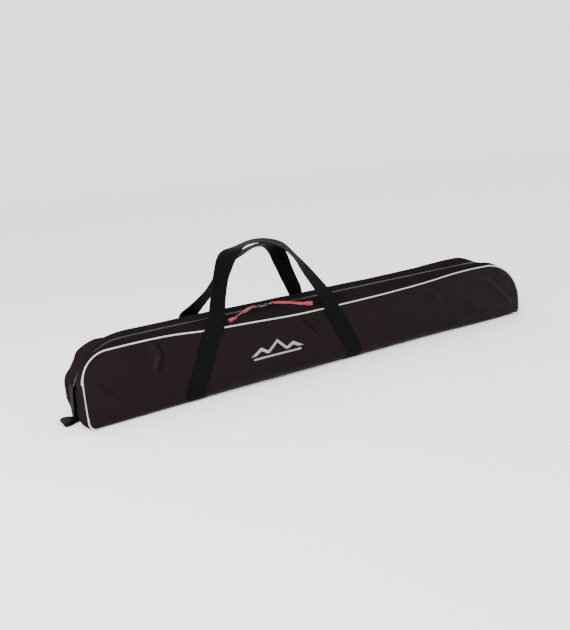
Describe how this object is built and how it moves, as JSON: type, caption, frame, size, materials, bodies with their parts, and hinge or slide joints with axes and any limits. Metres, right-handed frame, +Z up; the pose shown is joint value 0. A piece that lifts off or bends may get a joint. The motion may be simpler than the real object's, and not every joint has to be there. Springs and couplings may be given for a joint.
{
  "type": "ski bag",
  "caption": "Long padded soft bag for skis, with a two-way zipper along its top, two webbing carry handles and a grab tab at each end.",
  "frame": {"origin": "centre of the base, on the surface that the bag lies on", "axes": "+X along the bag to its right end as seen from the front, -Y out of the front face with the print, +Z up"},
  "size_m": [1.248, 0.146, 0.2998],
  "materials": {
    "shell_nylon": "dark brown-black coated nylon, fine plain weave",
    "padding_foam": "closed-cell foam sheet",
    "lining_fabric": "thin grey polyester lining",
    "binding_tape": "black seam binding",
    "webbing": "black ribbed polyester webbing",
    "thread": "black bonded thread",
    "piping": "silver-grey covered cord, slightly reflective",
    "zip_tape": "black woven zipper tape",
    "zip_coil": "black nylon coil",
    "zip_metal": "black painted die-cast metal",
    "pull_cord": "bright red braided cord",
    "pull_end": "bright red moulded end",
    "emblem_print": "silver-grey screen print"
  },
  "bodies": {
    "bag": {"foam_base": "padding_foam", "foam_front": "padding_foam", "foam_rear": "padding_foam", "front_piping": "piping", "front_seam_binding": "binding_tape", "left_end_gusset_front": "shell_nylon", "left_end_gusset_rear": "shell_nylon", "left_end_tab_band": "webbing", "left_end_tab_loop": "webbing", "left_end_zip_coils": "zip_coil", "left_end_zip_stop": "zip_metal", "left_end_zip_tapes": "zip_tape", "lining": "lining_fabric", "outer_shell": "shell_nylon", "printed_emblem": "emblem_print", "rear_piping": "piping", "rear_seam_binding": "binding_tape", "right_end_gusset_front": "shell_nylon", "right_end_gusset_rear": "shell_nylon", "right_end_tab_band": "webbing", "right_end_tab_loop": "webbing", "right_end_zip_coils": "zip_coil", "right_end_zip_stop": "zip_metal", "right_end_zip_tapes": "zip_tape", "sewn_strap_left": "webbing", "sewn_strap_right": "webbing", "strap_stitching": "thread"},
    "front_flap": {"front_top_strip": "shell_nylon", "front_zip_tape": "zip_tape", "front_zip_coil": "zip_coil"},
    "rear_flap": {"rear_top_strip": "shell_nylon", "rear_zip_tape": "zip_tape", "rear_zip_coil": "zip_coil"},
    "front_carry_handle": {"front_handle": "webbing"},
    "rear_carry_handle": {"rear_handle": "webbing"},
    "left_zip_slider": {"left_slider": "zip_metal"},
    "right_zip_slider": {"right_slider": "zip_metal"},
    "left_zip_pull": {"left_puller": "zip_metal", "left_pull_cord_a": "pull_cord", "left_pull_cord_b": "pull_cord", "left_pull_end": "pull_end"},
    "right_zip_pull": {"right_puller": "zip_metal", "right_pull_cord_a": "pull_cord", "right_pull_cord_b": "pull_cord", "right_pull_end": "pull_end"}
  },
  "joints": [
    {"name": "right_slider_run", "type": "slide", "parent": "bag", "child": "right_zip_slider", "axis": [1, 0, 0], "range_m": [0, 0.621]},
    {"name": "left_slider_run", "type": "slide", "parent": "bag", "child": "left_zip_slider", "axis": [-1, 0, 0], "range_m": [0, 0.2955]},
    {"name": "front_flap_fold", "type": "hinge", "parent": "bag", "child": "front_flap", "pos_m": [0, -0.0556, 0.141], "axis": [1, 0, 0], "range_deg": [-75, 0], "deforming": ["front_zip_tape", "front_zip_coil"]},
    {"name": "rear_flap_fold", "type": "hinge", "parent": "bag", "child": "rear_flap", "pos_m": [0, 0.0556, 0.141], "axis": [1, 0, 0], "range_deg": [0, 75], "deforming": ["rear_zip_tape", "rear_zip_coil"]},
    {"name": "front_handle_swing", "type": "hinge", "parent": "bag", "child": "front_carry_handle", "pos_m": [0, -0.0678, 0.1304], "axis": [1, 0, 0], "range_deg": [0, 150]},
    {"name": "rear_handle_swing", "type": "hinge", "parent": "bag", "child": "rear_carry_handle", "pos_m": [0, 0.0678, 0.1304], "axis": [1, 0, 0], "range_deg": [-150, 0]},
    {"name": "left_pull_swing", "type": "hinge", "parent": "left_zip_slider", "child": "left_zip_pull", "pos_m": [-0.173, 0, 0.1541], "axis": [0, 1, 0], "range_deg": [0, 90]},
    {"name": "right_pull_swing", "type": "hinge", "parent": "right_zip_slider", "child": "right_zip_pull", "pos_m": [-0.1525, 0, 0.1541], "axis": [0, 1, 0], "range_deg": [-90, 0]}
  ],
  "couplings": [
    {"joint": "left_slider_run", "follows": "right_slider_run", "ratio": 0.4758},
    {"joint": "front_flap_fold", "follows": "right_slider_run", "rad_per_m": -2.1},
    {"joint": "rear_flap_fold", "follows": "right_slider_run", "rad_per_m": 2.1}
  ]
}
